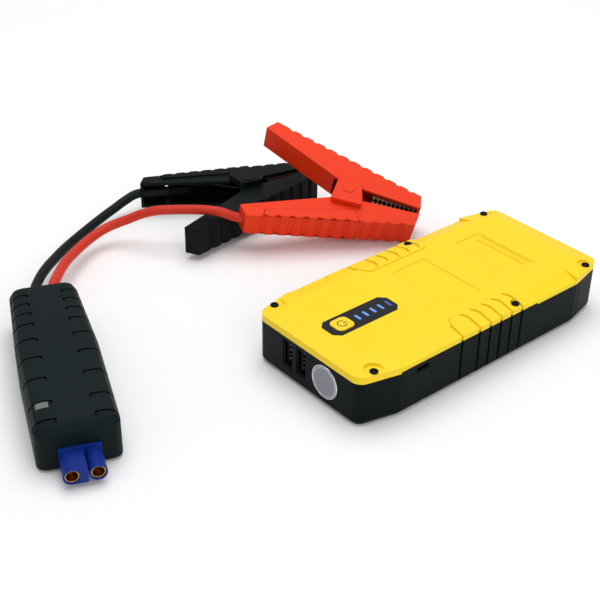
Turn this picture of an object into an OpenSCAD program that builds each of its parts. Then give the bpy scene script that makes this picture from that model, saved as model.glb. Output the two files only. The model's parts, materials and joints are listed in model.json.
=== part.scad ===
// Jump starter pack with a smart lead: a module, two cables and two clamps.
// The origin is the centre of the pack's base, +Z is up and the torch looks along -Y.

/* [Pack] */
// Width of the pack
pack_w = 76.4; // [72:0.2:90]
// Length of the pack
pack_l = 156.4; // [152:0.2:180]
// Height of the black tub at its ends
seam_z = 22; // [21.6:0.2:26]
// Height of the cover's upright edge above the tub
edge_h = 3.2; // [3:0.1:5]
// Rise of the raised deck above the upright edge
deck_rise = 2.2; // [2:0.1:3.4]
// Width of the slope along the long sides
slope_side = 9; // [8:0.1:9.6]
// Width of the slope at the two ends
slope_end = 9; // [8:0.1:11]
// Width of the slope at the four corners
slope_corner = 9.6; // [8.6:0.1:11]
// Dip of the cover's long sides between its corners and its waist
side_dip = 1.6; // [0.8:0.1:1.8]
// Wall of the tub and the cover
pack_wall = 2; // [1.6:0.1:2.2]
// Taper of each corner across the pack
corner_x = 5; // [4:0.1:6]
// Taper of each corner along the pack
corner_y = 20.5; // [16:0.5:24]
// Radius of the upright corners
corner_r = 5.5; // [4.5:0.1:6.5]
// Height of the bevel round the tub's foot
foot_bevel = 2.4; // [1.5:0.1:3]

/* [Waist] */
// Half width of the waist's floor between the grooved shoulders
waist_x = 25.5; // [24:0.5:26.5]
// Drop of the waist's floor below the deck
waist_drop = 0.5; // [0.3:0.1:0.8]
// Front groove of the waist
waist_front = -21; // [-22:0.5:-20]
// First of the close grooves
groove_start = -9.8; // [-12:0.2:-8]
// Pitch of the close grooves
groove_pitch = 7; // [6:0.1:7.4]
// Number of close grooves
groove_count = 5; // [3:1:5]
// Width of a groove
groove_w = 1.3; // [0.8:0.1:2]
// Depth of a groove
groove_d = 0.8; // [0.5:0.1:1]

/* [Screws] */
// Distance of the end screws from the pack's ends
screw_end = 8.9; // [8.4:0.1:10]
// Distance of the end screws from the pack's sides
screw_side = 5.2; // [5:0.1:7]
// Position of the middle screws along the pack
mid_screw_y = 16.7; // [14:0.1:18]
// Distance of the middle screws from the pack's sides
mid_screw_side = 3.2; // [3.1:0.1:5]
// Radius of a screw's head
head_r = 1.9; // [1.6:0.1:2.1]
// Height of a screw's head
head_h = 1.2; // [0.8:0.1:1.4]
// Radius of a screw's shank
shank_r = 1.1; // [0.9:0.05:1.3]
// Radius of the scoop round an end screw
scoop_r = 4.8; // [3.5:0.1:5.4]

/* [Display and key] */
// Width of the display window
window_w = 13; // [12:0.2:15]
// Length of the display window
window_l = 39; // [37:0.5:40]
// Distance of the window's middle from the pack's front end
window_inset = 31.2; // [30.4:0.2:33.2]
// Cut of the window's corners
window_cut = 3; // [2:0.1:4]
// Thickness of the window
window_t = 0.9; // [0.7:0.1:1.2]
// Width of the power button
key_w = 8.8; // [8:0.1:9.4]
// Length of the power button
key_l = 9.6; // [8.6:0.1:10]
// Distance of the button's middle from the window's front end
key_inset = 8.7; // [8:0.1:9.2]
// Travel of the power button
key_travel = 0.6; // [0.4:0.05:0.8]
// Clearance round the power button
key_gap = 0.25; // [0.2:0.05:0.35]
// Width of a light bar
bar_w = 5; // [4:0.1:6]
// Thickness of a light bar
bar_t = 1.3; // [1:0.1:1.6]
// Pitch of the light bars
bar_pitch = 4.6; // [4:0.1:5]
// Number of light bars
bar_count = 5; // [3:1:5]

/* [Ports and torch] */
// Height of the upright sockets' middle
usb_z = 13.7; // [13.4:0.1:14]
// Long side of a socket's shell
usb_long = 13.7; // [13.4:0.1:14]
// Short side of a socket's shell
usb_short = 6.5; // [6.2:0.1:6.8]
// Depth of a socket's shell
usb_deep = 14; // [12:0.5:16]
// Wall of a socket's shell
usb_wall = 0.6; // [0.5:0.05:0.7]
// Position of the outer socket across the pack
usb_x = -12.6; // [-14:0.1:-12]
// Distance between the two sockets
usb_pitch = 9.2; // [8.6:0.1:9.6]
// Distance of the charging socket from the pack's front end
micro_inset = 33.2; // [30.2:0.5:34.2]
// Distance of the charging socket's middle below the seam
micro_drop = 2.2; // [2:0.1:3]
// Width of the charging socket
micro_w = 7.6; // [7:0.1:8.4]
// Height of the charging socket
micro_h = 2.8; // [2.4:0.1:3]
// Position of the torch across the pack
torch_x = 12.2; // [11.6:0.1:13]
// Height of the torch's middle
torch_z = 12.4; // [12:0.1:13]
// Radius of the torch's lens
lens_r = 8.2; // [7.6:0.1:8.6]
// Thickness of the torch's lens
lens_t = 1.6; // [1.2:0.1:2]
// Depth of the torch's reflector
cup_deep = 11; // [9:0.5:12]

/* [Outlet] */
// Height of the outlet's middle
outlet_z = 11; // [10.5:0.1:11.5]
// Width of the outlet's block
outlet_w = 24; // [22:0.5:26]
// Height of the outlet's block
outlet_h = 12; // [11:0.2:13]
// Depth of the outlet's block
outlet_deep = 20; // [18:0.5:22]
// Thickness of the outlet's cap
cap_t = 1.6; // [1.2:0.1:2]
// Margin of the cap round the outlet's block
cap_margin = 1.6; // [1.2:0.1:2]
// Radius of the cap's hinge pin
cap_pin_r = 0.6; // [0.5:0.05:0.7]

/* [Cells and boards] */
// Width of a cell
cell_w = 60; // [50:1:62]
// Room between the cells and the main board
cell_room = 2.2; // [1:0.1:10]
// Thickness of a cell
cell_t = 6; // [5:0.1:6.2]
// Number of cells
cell_count = 3; // [2:1:3]
// Thickness of the circuit boards
board_t = 1.6; // [1:0.1:2]

/* [Module] */
// Length of the module
module_l = 111; // [106:0.5:122]
// Width of the module
module_w = 36; // [34:0.5:42]
// Height of the module
module_h = 23; // [21:0.5:26]
// Height of the module's lower shell
tray_h = 4.6; // [4:0.2:6]
// Wall of the module's shells
module_wall = 2; // [1.6:0.1:2.2]
// Radius of the module's corners at the plug
nose_r = 4; // [3:0.2:6]
// Radius of the module's corners at the cables
tail_r = 5; // [4.4:0.2:7]
// Width of the module's crown on each side
crown_w = 6; // [5:0.2:7]
// Reach of the module's grooves in from the widest line
hook_reach = 10; // [8:0.2:11]
// Width of the module's grooves
hook_w = 1.1; // [0.8:0.1:1.4]
// Depth of the module's grooves
hook_d = 0.9; // [0.6:0.1:1.1]

/* [Plug] */
// Distance between the plug's two poles
pole_pitch = 10.5; // [10.3:0.1:11]
// Length of the plug's barrels
barrel_l = 11.5; // [10.5:0.5:17]
// Outer radius of the round barrel
barrel_r = 3.7; // [3.5:0.1:3.9]
// Inner radius of a contact sleeve
pole_r = 2.5; // [2:0.1:2.6]
// Wall of a contact sleeve
sleeve_t = 0.5; // [0.4:0.05:0.6]
// Height of the poles above the floor
pole_z = 6.2; // [6.2:0.1:7.4]

/* [Cables] */
// Diameter of the cables
cable_d = 5; // [4.4:0.1:5.2]
// Distance between the two cables at the module
gland_pitch = 8.5; // [8.2:0.1:10]
// Height of the cables at the module
gland_z = 12; // [11:0.2:13]
// Length of the glands outside the module
gland_l = 4; // [3:0.5:6]

/* [Clamps] */
// Width of a clamp's arms
clamp_w = 15; // [14:0.2:18]
// Reach of the handles behind the pivot
handle_l = 52; // [48:0.5:64]
// Reach of the jaws in front of the pivot
jaw_l = 39.6; // [37:0.2:44]
// Distance of an arm's back from the pivot
back_y = 21; // [20:0.2:23]
// Slope of an arm's back in degrees
back_slope = 15.6; // [14:0.2:17]
// Depth of a handle at its end
handle_depth = 7.4; // [7:0.2:8]
// Gap between the arms at the jaw tips
tip_gap = 3.8; // [3.6:0.1:4.4]
// Wall of the arms
arm_wall = 1.6; // [1.4:0.1:1.8]
// Thickness of the outer ears
ear_t = 3.1; // [2.4:0.1:3.6]
// Radius of the inner ears
ear_r = 5.5; // [5:0.1:5.6]
// Radius of the pivot pin
pivot_r = 2; // [1.6:0.1:2.2]
// Running clearance round the pivot pin
pivot_fit = 0.05; // [0.02:0.01:0.1]
// Radius of the round boss on an ear
boss_r = 3.5; // [3:0.1:3.8]
// Pitch of the ribs on an arm's back
rib_pitch = 7; // [6:0.2:8]
// Depth between the ribs
rib_d = 0.9; // [0.4:0.1:1]
// Pitch of the jaw teeth
tooth_pitch = 2.4; // [2:0.1:3]
// Diameter of the spring wire
wire_d = 1.3; // [1:0.1:1.4]
// Radius of the spring's coil
coil_r = 4; // [3.6:0.1:4.2]
// Turns of the spring
coil_turns = 3; // [2:1:4]

/* [Hidden] */

yellow = [1.0, 0.84, 0.2];
tub_black = [0.11, 0.13, 0.14];
charcoal = [0.17, 0.2, 0.21];
clamp_red = [0.93, 0.24, 0.13];
clamp_black = [0.15, 0.17, 0.19];
plug_blue = [0.1, 0.24, 0.66];
steel = [0.75, 0.76, 0.78];
gold = [0.85, 0.65, 0.3];
copper = [0.72, 0.45, 0.3];
board_green = [0.1, 0.35, 0.2];

eps = 0.02;          // thickness of a loft's layers
over = 1;            // how far a cut runs past what it cuts
fit = 0.1;           // clearance of a seated piece
gap = 0.3;           // clearance between pieces that move apart

hw = pack_w / 2;
hl = pack_l / 2;
screw_y = hl - screw_end;
screw_x = hw - screw_side;
mid_screw_x = hw - mid_screw_side;
window_y = -hl + window_inset;
micro_y = -hl + micro_inset;
edge_z = seam_z + edge_h;
deck_z = edge_z + deck_rise;
ceiling_z = deck_z - pack_wall;
seam_step = 0.9;     // the seam is this much higher along the sides
step_front = -hl + corner_y;
step_back = 29;
waist_back = groove_start + (groove_count - 1) * groove_pitch;
grooves_y = concat([waist_front], [for (i = [0:groove_count - 1]) groove_start + i * groove_pitch]);
tail_groove_y = hl - corner_y + 2.5;

// Arithmetic on points
function unit(v) = v / norm(v);
function left_of(v) = [-v[1], v[0]];
// Rounds each corner of a convex outline that runs anticlockwise
function rounded(pts, r, n = 3) = let (m = len(pts)) [
    for (i = [0:m - 1], k = [0:n])
        let (rr = is_list(r) ? r[i] : r,
            u = unit(pts[i] - pts[(i + m - 1) % m]),
            v = unit(pts[(i + 1) % m] - pts[i]),
            a = left_of(u),
            b = left_of(v),
            centre = pts[i] + rr * (a + b) / (1 + a * b),
            start = atan2(-a[1], -a[0]),
            swing = acos(max(-1, min(1, u * v))))
        centre + rr * [cos(start + swing * k / n), sin(start + swing * k / n)]];
function mirrored(pts) = [for (i = [len(pts) - 1:-1:0]) [-pts[i][0], pts[i][1]]];

module layer(z, pts) {
    translate([0, 0, z]) linear_extrude(eps) polygon(pts);
}

// A tube through the points, closed at both ends
module tube(points, d, sides) {
    n = len(points);
    rings = [for (i = [0:n - 1])
        let (t = unit(points[min(i + 1, n - 1)] - points[max(i - 1, 0)]),
            s = unit(cross(abs(t[2]) > 0.9 ? [1, 0, 0] : [0, 0, 1], t)),
            w = cross(t, s))
        for (k = [0:sides - 1])
            let (a = 360 * (k + 0.5) / sides)
            points[i] + d / 2 * (cos(a) * s + sin(a) * w)];
    walls = [for (i = [0:n - 2], k = [0:sides - 1])
        let (a = i * sides + k, b = i * sides + (k + 1) % sides)
        each [[a, b + sides, b], [a, a + sides, b + sides]]];
    front = [for (k = [1:sides - 2]) [0, k, k + 1]];
    last = (n - 1) * sides;
    back = [for (k = [1:sides - 2]) [last, last + k + 1, last + k]];
    polyhedron(rings, concat(walls, front, back), convexity = 6);
}

// ---- Pack ----

// Outline of the pack, drawn in by an amount on every side
function pack_pts(i = 0) =
    let (w = hw - i, l = hl - i, s = norm([corner_x, corner_y]),
        cx = corner_x - i + i * (s - corner_x) / corner_y,
        cy = corner_y - i + i * (s - corner_y) / corner_x)
    outline8(w, l, cx, cy, max(1, corner_r - i));
function outline8(w, l, cx, cy, r) = rounded([[w - cx, -l], [w, -l + cy], [w, l - cy],
    [w - cx, l], [-w + cx, l], [-w, l - cy], [-w, -l + cy], [-w + cx, -l]], r, 6);
function octagon(w, l, c) = [[w / 2 - c, -l / 2], [w / 2, -l / 2 + c], [w / 2, l / 2 - c],
    [w / 2 - c, l / 2], [-w / 2 + c, l / 2], [-w / 2, l / 2 - c], [-w / 2, -l / 2 + c],
    [-w / 2 + c, -l / 2]];
function box_pts(w, l) = [[w / 2, -l / 2], [w / 2, l / 2], [-w / 2, l / 2], [-w / 2, -l / 2]];

screw_spots = [for (sx = [-1, 1]) each [[sx * screw_x, -screw_y, scoop_r],
    [sx * screw_x, screw_y, scoop_r * 0.8], [sx * mid_screw_x, mid_screw_y, head_r + 0.5]]];
screw_seat_z = edge_z + 0.3;
shank_l = 13;
post_r = shank_r + 1.6;

// Upright grooves in both long sides of the tub
module side_grooves(z0, z1) {
    for (sx = [-1, 1], y = concat(grooves_y, [tail_groove_y]))
        translate([sx * (hw + over - groove_d / 2), y, (z0 + z1) / 2])
            cube([groove_d + 2 * over, groove_w, z1 - z0], center = true);
}

foot_z = 1.2;
cap_w = outlet_w + 2 * cap_margin;
cap_h = outlet_h + 2 * cap_margin;
knuckle_r = cap_pin_r + 0.7;
cap_x = -cap_w / 2 - knuckle_r - gap;       // axis of the cap's hinge pin
cap_y = hl - knuckle_r - 0.1;
recess_d = cap_t + 0.1 + gap;
socket_y = hl - recess_d;                   // mouth of the outlet, under the cap
pin_hold = 2.2;                             // length of the pin held in the tub at each end
hinge_room = 3;                             // clear width beyond the hinge for the open cap
back_pad = 4;                               // extra wall behind the cap's recess

module tub_form() {
    hull() {
        layer(0, pack_pts(foot_bevel * 0.7));
        layer(foot_bevel - eps, pack_pts());
    }
    translate([0, 0, foot_bevel]) linear_extrude(seam_z - foot_bevel) polygon(pack_pts());
}

module base_housing() color(tub_black) {
    difference() {
        union() {
            difference() {
                union() {
                    tub_form();
                    for (sx = [-1, 1])
                        translate([sx * (hw - pack_wall / 2), (step_front + step_back) / 2,
                                seam_z + seam_step / 2 - over / 2])
                            cube([pack_wall, step_back - step_front, seam_step + over],
                                center = true);
                }
                translate([0, 0, pack_wall])
                    linear_extrude(seam_z + over) polygon(pack_pts(pack_wall));
                side_grooves(foot_z, seam_z + over);
            }
            intersection() {
                tub_form();
                union() {
                    for (p = screw_spots)
                        translate([p[0] - sign(p[0]) * 0.3, p[1], pack_wall / 2])
                            cylinder(r = post_r, h = seam_z - pack_wall / 2 - 1, $fn = 32);
                    for (x = [-1, 1], y = [board_front + 9, board_back - 4])
                        translate([x * (board_nose_w / 2 - 4), y, pack_wall / 2])
                            cylinder(r = 2, h = board_z - pack_wall / 2, $fn = 24);
                    // seat under the outlet, and the thicker wall round it
                    translate([-outlet_w / 2, socket_y - outlet_deep, pack_wall / 2])
                        cube([outlet_w, outlet_deep, outlet_z - outlet_h / 2 - pack_wall / 2]);
                    translate([cap_x - hinge_room - 2, hl - pack_wall - back_pad, pack_wall / 2])
                        cube([-cap_x + hinge_room + cap_w / 2 + 4, back_pad + pack_wall,
                            outlet_z + cap_h / 2 + 3 - pack_wall / 2]);
                }
            }
        }
        for (p = screw_spots)
            translate([p[0], p[1], screw_seat_z - shank_l])
                cylinder(r = shank_r, h = shank_l, $fn = 32);
        for (i = [0, 1])
            translate([usb_x + i * usb_pitch, -hl, usb_z])
                cube([usb_short + 2 * fit, 2 * pack_wall + 2 * over, usb_long + 2 * fit],
                    center = true);
        translate([torch_x, -hl - over, torch_z]) rotate([-90, 0, 0])
            cylinder(r = lens_r + fit, h = pack_wall + 2 * over, $fn = 64);
        translate([hw, micro_y, micro_z])
            cube([2 * pack_wall + 2 * over, micro_w + 2 * fit, micro_h + 2 * fit], center = true);
        translate([0, hl, outlet_z])
            cube([outlet_w + 2 * fit, 2 * (pack_wall + back_pad) + 2 * over, outlet_h + 2 * fit],
                center = true);
        // recess that the cap lies in, with a deeper pocket for its hinge
        translate([cap_x - hinge_room, hl - recess_d, outlet_z - cap_h / 2 - gap])
            cube([-cap_x + hinge_room + cap_w / 2 + gap, recess_d + over, cap_h + 2 * gap]);
        translate([cap_x - hinge_room, cap_y - knuckle_r - gap, outlet_z - cap_h / 2 - gap])
            cube([hinge_room + knuckle_r + gap, 2 * knuckle_r + over, cap_h + 2 * gap]);
        translate([cap_x, cap_y, outlet_z - cap_h / 2 - pin_hold])
            cylinder(r = cap_pin_r, h = cap_h + 2 * pin_hold, $fn = 24);
    }
}

// A wedge below a slope that falls away towards +X, at a distance from the origin
module slope(at, width, edge, top) {
    rotate([90, 0, 0]) linear_extrude(3 * pack_l, center = true)
        polygon([[-2 * pack_l, seam_z - 2], [at, seam_z - 2], [at, edge],
            [at - width, top], [-2 * pack_l, top]]);
}
corner_turn = atan2(corner_x, corner_y);
corner_at = hw * cos(corner_turn) + (hl - corner_y) * sin(corner_turn);
module cover_solid(inset, top, low) {
    foot = inset > 0 ? seam_z - over : seam_z;
    edge = edge_z - low;
    intersection() {
        translate([0, 0, foot]) linear_extrude(top - foot) polygon(pack_pts(inset));
        intersection_for (a = [0, 180]) rotate([0, 0, a])
            slope(hw - inset, slope_side, edge, top);
        intersection_for (a = [90, 270]) rotate([0, 0, a])
            slope(hl - inset, slope_end, edge, top);
        intersection_for (a = [corner_turn, -corner_turn, 180 + corner_turn, 180 - corner_turn])
            rotate([0, 0, a]) slope(corner_at - inset, slope_corner, edge, top);
    }
}

// Outline that is the same on both sides of the pack, given by its right half
function both(pts) = concat(pts, mirrored(pts));
// A band of one width along a path
function band(path, w) = let (m = len(path), side = [for (i = [0:m - 1])
        left_of(unit(path[min(i + 1, m - 1)] - path[max(i - 1, 0)])) * w / 2])
    concat([for (i = [0:m - 1]) path[i] - side[i]], [for (i = [m - 1:-1:0]) path[i] + side[i]]);

// The deck is two plateaus with cut corners, and the waist's floor lies lower between them
front_edge = -17.8;      // rear edge of the front plateau
back_edge = 18;          // front edge of the rear plateau
ramp = 2.7;              // run from a plateau's edge down to the floor
module plateau(foot, edge) {
    hull() {
        layer(deck_z - waist_drop - eps, foot);
        layer(deck_z, edge);
    }
}
shoulder = [[waist_x, waist_front + 4.1], [waist_x + 3.4, waist_front + 1.4],
    [waist_x + 6.5, waist_front + groove_w / 2], [hw + over, waist_front + groove_w / 2],
    [hw + over, waist_back + 3.8], [waist_x + 2.5, waist_back + 3.8], [waist_x, waist_back + 1]];
module waist_cut() {
    difference() {
        translate([-hw, front_edge - 10, deck_z - waist_drop])
            cube([2 * hw, back_edge - front_edge + 26, waist_drop + over]);
        plateau(both([[hw, -hl / 2], [hw, front_edge - 4.9], [16.5, front_edge + ramp]]),
            both([[hw, -hl / 2], [hw, front_edge - 11.5], [19, front_edge]]));
        plateau(both([[14.5, back_edge - ramp], [20, back_edge - 1.2], [24.6, back_edge + 1.2],
                [30, back_edge + 6], [34, back_edge + 12], [hw, hl / 2 + 20]]),
            both([[15.5, back_edge], [21.5, back_edge + 2.6], [25.2, back_edge + 5.4],
                [28.5, back_edge + 10], [32, back_edge + 16], [hw, hl / 2 + 20]]));
        linear_extrude(deck_z + 2 * over) {
            polygon(shoulder);
            polygon(mirrored(shoulder));
        }
    }
}

// Grooves over the shoulders; all but the front one start with a short hook
hook_path = [[27, -1.9], [28.4, -1.25], [29.8, -0.4], [31.2, 0]];
module cover_grooves() {
    difference() {
        for (y = grooves_y) translate([0, y, seam_z - over]) linear_extrude(deck_z - seam_z + 2 * over) {
            path = y == waist_front ? [[waist_x + 5, 0]] : hook_path;
            pts = band(concat(path, [[hw + over, 0]]), groove_w);
            polygon(pts);
            polygon(mirrored(pts));
        }
        cover_solid(groove_d, deck_z - groove_d, groove_d * 0.75);
    }
}

// The long sides dip behind the front corners and in front of the rear ones
module dip_end(y, dip) {
    profile = [[hw - slope_side, deck_z],
        [hw + over, edge_z - dip - over * (deck_rise + dip) / slope_side],
        [hw + over, deck_z + over], [hw - slope_side, deck_z + over]];
    translate([0, y, 0]) rotate([90, 0, 0]) linear_extrude(eps) polygon(profile);
}
module side_dips() {
    for (a = [0, 1]) mirror([a, 0, 0]) {
        hull() {
            dip_end(-hl + corner_y + 1, side_dip * 0.4);
            dip_end(waist_front - 14, side_dip * 0.1);
        }
        hull() {
            dip_end(waist_back + 3.8, side_dip);
            dip_end(hl - corner_y - 1, side_dip);
        }
    }
}

module window_shape(grow = 0) {
    polygon(octagon(window_w + 2 * grow, window_l + 2 * grow, window_cut));
}
key_y = window_y - window_l / 2 + key_inset;
bar_first_y = key_y + key_l / 2 + 4.4;
function bar_y(i) = bar_first_y + i * bar_pitch;
bar_x = 0.2;
window_top = deck_z + 0.15;

module key_shape(grow = 0) {
    polygon(rounded(box_pts(key_w + 2 * grow, key_l + 2 * grow), 2.6 + grow, 6));
}

// Shallow panels: one on the waist's floor, one on the rear plateau with two bars in it
panel_d = 0.3;
panel_w = 37.4;
mid_panel_l = 21.8;
rear_panel_l = 19.6;
rear_bar_l = 31;
rear_bar_w = 1.5;
rear_bar_pitch = 3.6;
rear_panel_y = back_edge + 22;
module deck_recesses() {
    translate([0, (front_edge + back_edge) / 2 + 0.4, deck_z - waist_drop - panel_d])
        linear_extrude(over) polygon(rounded(box_pts(panel_w, mid_panel_l), 1.2));
    translate([0, rear_panel_y, deck_z - panel_d])
        linear_extrude(over) polygon(rounded(both([[panel_w / 2 - 4, -rear_panel_l / 2],
            [panel_w / 2, -rear_panel_l / 2 + 3.6], [panel_w / 2, rear_panel_l / 2]]), 1.2));
    for (i = [0, 1])
        translate([0.6, rear_panel_y + 4.4 + i * rear_bar_pitch, deck_z - 2 * panel_d])
            linear_extrude(over) polygon(rounded(box_pts(rear_bar_l, rear_bar_w), 0.7));
}

module top_cover() color(yellow) {
    difference() {
        union() {
            difference() {
                cover_solid(0, deck_z, 0);
                cover_solid(pack_wall, ceiling_z, pack_wall * 0.4 + side_dip);
            }
            // bosses that the screws pass through, with a floor for each scoop
            intersection() {
                cover_solid(0.2, deck_z, 0.1);
                for (p = screw_spots) {
                    translate([p[0] - sign(p[0]) * 0.3, p[1], seam_z])
                        cylinder(r = post_r, h = screw_seat_z - seam_z, $fn = 32);
                    translate([p[0], p[1], screw_seat_z - 1.2])
                        cylinder(r = p[2] + 1, h = deck_z - screw_seat_z, $fn = 48);
                }
            }
            intersection() {
                linear_extrude(deck_z) polygon(pack_pts(pack_wall + fit));
                for (p = screw_spots) translate([p[0] - sign(p[0]) * 0.3, p[1], seam_z - 1])
                    cylinder(r = post_r, h = 1.2, $fn = 32);
            }
        }
        for (p = screw_spots) {
            translate([p[0], p[1], screw_seat_z])
                cylinder(r = p[2], h = deck_z, $fn = 48);
            translate([p[0], p[1], seam_z - 2])
                cylinder(r = shank_r + fit, h = deck_z, $fn = 32);
        }
        for (sx = [-1, 1])
            translate([sx * (hw - pack_wall / 2), (step_front + step_back) / 2, seam_z])
                cube([pack_wall + 4 * fit + 2 * over, step_back - step_front + 2 * fit,
                    2 * seam_step], center = true);
        waist_cut();
        cover_grooves();
        side_dips();
        deck_recesses();
        translate([0, window_y, window_top - window_t])
            linear_extrude(2 * over) window_shape(fit);
        translate([0, key_y, 0]) linear_extrude(deck_z + over) key_shape(key_gap);
        for (i = [0:bar_count - 1]) translate([bar_x, bar_y(i), ceiling_z])
            cube([bar_w + 2 * fit, bar_t + 2 * fit, 4 * pack_wall], center = true);
    }
}

module cover_screws() color([0.08, 0.08, 0.09]) {
    for (p = screw_spots) translate([p[0], p[1], 0]) {
        difference() {
            translate([0, 0, screw_seat_z]) intersection() {
                cylinder(r = head_r, h = head_h, $fn = 32);
                translate([0, 0, head_h - head_r * 1.7]) sphere(r = head_r * 1.7, $fn = 48);
            }
            translate([0, 0, screw_seat_z + head_h - 0.6])
                for (a = [0, 90]) rotate([0, 0, a])
                    translate([-head_r * 0.6, -0.25, 0]) cube([head_r * 1.2, 0.5, over]);
        }
        translate([0, 0, screw_seat_z - shank_l + 0.5])
            cylinder(r = shank_r, h = shank_l - 0.5, $fn = 32);
    }
}

module display_window() color([0.13, 0.15, 0.17]) {
    translate([0, 0, window_top - window_t]) linear_extrude(window_t) difference() {
        translate([0, window_y]) window_shape();
        translate([0, key_y]) key_shape(key_gap);
        for (i = [0:bar_count - 1]) translate([bar_x, bar_y(i)])
            square([bar_w, bar_t], center = true);
    }
}

display_board_z = ceiling_z - 4.2;
lens_post = display_board_z + 1.2;      // top of the display board
module charge_lights() color([0.45, 0.7, 1]) {
    for (i = [0:bar_count - 1])
        translate([bar_x - bar_w / 2, bar_y(i) - bar_t / 2, lens_post])
            cube([bar_w, bar_t, window_top - lens_post]);
}

key_proud = 0.35;
flange_top = ceiling_z - 0.1;
switch_h = flange_top - 1 - key_travel - 0.2 - lens_post;
module power_button() color(yellow) {
    translate([0, key_y, flange_top]) {
        linear_extrude(window_top + key_proud - flange_top) key_shape();
        translate([0, 0, -1]) linear_extrude(1) key_shape(0.8);
    }
}

module switch_plunger() color([0.2, 0.2, 0.2]) {
    bottom = lens_post + 0.3 + key_travel;
    translate([0, key_y, bottom]) cylinder(r = 1.7, h = flange_top - 1 - bottom, $fn = 32);
}

module tact_switch() color(steel) {
    translate([0, key_y, lens_post]) difference() {
        translate([-3, -3, 0]) cube([6, 6, switch_h]);
        translate([0, 0, 0.2]) cylinder(r = 1.7 + fit, h = switch_h, $fn = 32);
    }
}

module display_board() color(board_green) {
    translate([-window_w / 2 - 1.5, window_y - window_l / 2, display_board_z])
        cube([window_w + 3, window_l, lens_post - display_board_z]);
    // hangers that hold the board to the cover
    for (sx = [-1, 1], y = [window_y - window_l / 2 + 1.5, window_y + window_l / 2 - 1.5])
        translate([sx * (window_w / 2 + 0.2), y, lens_post])
            cylinder(r = 1.2, h = ceiling_z - lens_post, $fn = 24);
}

board_z = usb_z - usb_long / 2 - board_t;
board_w = pack_w - 2 * pack_wall - 5;
board_nose_w = 2 * (screw_x - post_r - 2);
board_front = -hl + pack_wall + 1.5;
board_back = micro_y + micro_w / 2 + 1;
board_nose_l = hl - screw_y + post_r + 1 - pack_wall;
module main_board() color(board_green) {
    translate([0, 0, board_z]) linear_extrude(board_t) difference() {
        union() {
            translate([-board_w / 2, board_front + board_nose_l])
                square([board_w, board_back - board_front - board_nose_l]);
            translate([-board_nose_w / 2, board_front])
                square([board_nose_w, board_nose_l + over]);
        }
        // cut back round the torch
        translate([torch_x - lens_r - 1.4, -hl])
            square([2 * lens_r + 2.8, cup_deep + lens_t + 3]);
    }
}

micro_z = seam_z - micro_drop;
micro_deep = 5.4;
module charge_board() color(board_green) {
    translate([hw - micro_deep - board_t, micro_y - micro_w / 2 - 1, board_z + board_t])
        cube([board_t, micro_w + 2, micro_z + micro_h / 2 + 0.6 - board_z - board_t]);
}

module micro_port() color(steel) {
    translate([hw - micro_deep, micro_y, micro_z]) difference() {
        translate([0, -micro_w / 2, -micro_h / 2]) cube([micro_deep - 0.3, micro_w, micro_h]);
        difference() {
            translate([1, -micro_w / 2 + 0.4, -micro_h / 2 + 0.4])
                cube([micro_deep, micro_w - 0.8, micro_h - 0.8]);
            translate([1, -micro_w / 2 + 1.6, -0.35])
                cube([micro_deep - 2.2, micro_w - 3.2, 0.7]);
        }
    }
}

cell_gap = 0.2;
cell_back = socket_y - outlet_deep - cell_gap;
cell_l = cell_back - board_back - cell_room;
module battery_cells() color([0.55, 0.57, 0.6]) {
    for (i = [0:cell_count - 1])
        translate([-cell_w / 2, cell_back - cell_l, pack_wall + i * (cell_t + cell_gap)])
            linear_extrude(cell_t) translate([cell_w / 2, cell_l / 2])
                polygon(rounded(box_pts(cell_w, cell_l), 3));
}

module usb_shells() color(steel) {
    for (i = [0, 1]) translate([usb_x + i * usb_pitch, -hl + 0.4, usb_z]) difference() {
        translate([-usb_short / 2, 0, -usb_long / 2]) cube([usb_short, usb_deep, usb_long]);
        translate([-usb_short / 2 + usb_wall, -over, -usb_long / 2 + usb_wall])
            cube([usb_short - 2 * usb_wall, usb_deep, usb_long - 2 * usb_wall]);
    }
}

module usb_tongues() color([0.12, 0.12, 0.13]) {
    tongue_t = 1.9;
    for (i = [0, 1])
        translate([usb_x + i * usb_pitch - usb_short / 2 + usb_wall + 0.2, -hl + 1.6,
                usb_z - usb_long / 2 + usb_wall + 0.6])
            cube([tongue_t, usb_deep - over - 1.2, usb_long - 2 * usb_wall - 1.2]);
}

module torch_lens() color([0.8, 0.82, 0.85]) {
    translate([torch_x, -hl, torch_z]) rotate([-90, 0, 0])
        translate([0, 0, -0.2]) cylinder(r = lens_r, h = lens_t + 0.2, $fn = 64);
}

led_r = 1.8;
led_drop = 3;
cup_wall = 0.8;
function dish(s) = led_r + (lens_r - 0.5 - led_r) * sqrt(s);
module torch_reflector() color(steel) {
    steps = 8;
    translate([torch_x, -hl + lens_t, torch_z]) rotate([-90, 0, 0])
        rotate_extrude($fn = 64) polygon(concat(
            [for (k = [steps:-1:0]) [dish(k / steps), cup_deep * (1 - k / steps)]],
            [for (k = [0:steps]) [min(dish(k / steps) + cup_wall, lens_r), cup_deep * (1 - k / steps)]]));
}

module torch_led() color([0.95, 0.9, 0.6]) {
    translate([torch_x, -hl + lens_t + cup_deep, torch_z]) rotate([-90, 0, 0]) {
        cylinder(r = 4, h = 1.2, $fn = 32);
        translate([0, 0, -1]) cylinder(r = led_r - fit, h = 1 + eps, $fn = 32);
        // legs down to the board
        translate([-1.5, led_drop, 0]) cube([3, torch_z - board_z - led_drop, 0.6]);
    }
}

// ---- Outlet ----

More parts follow.
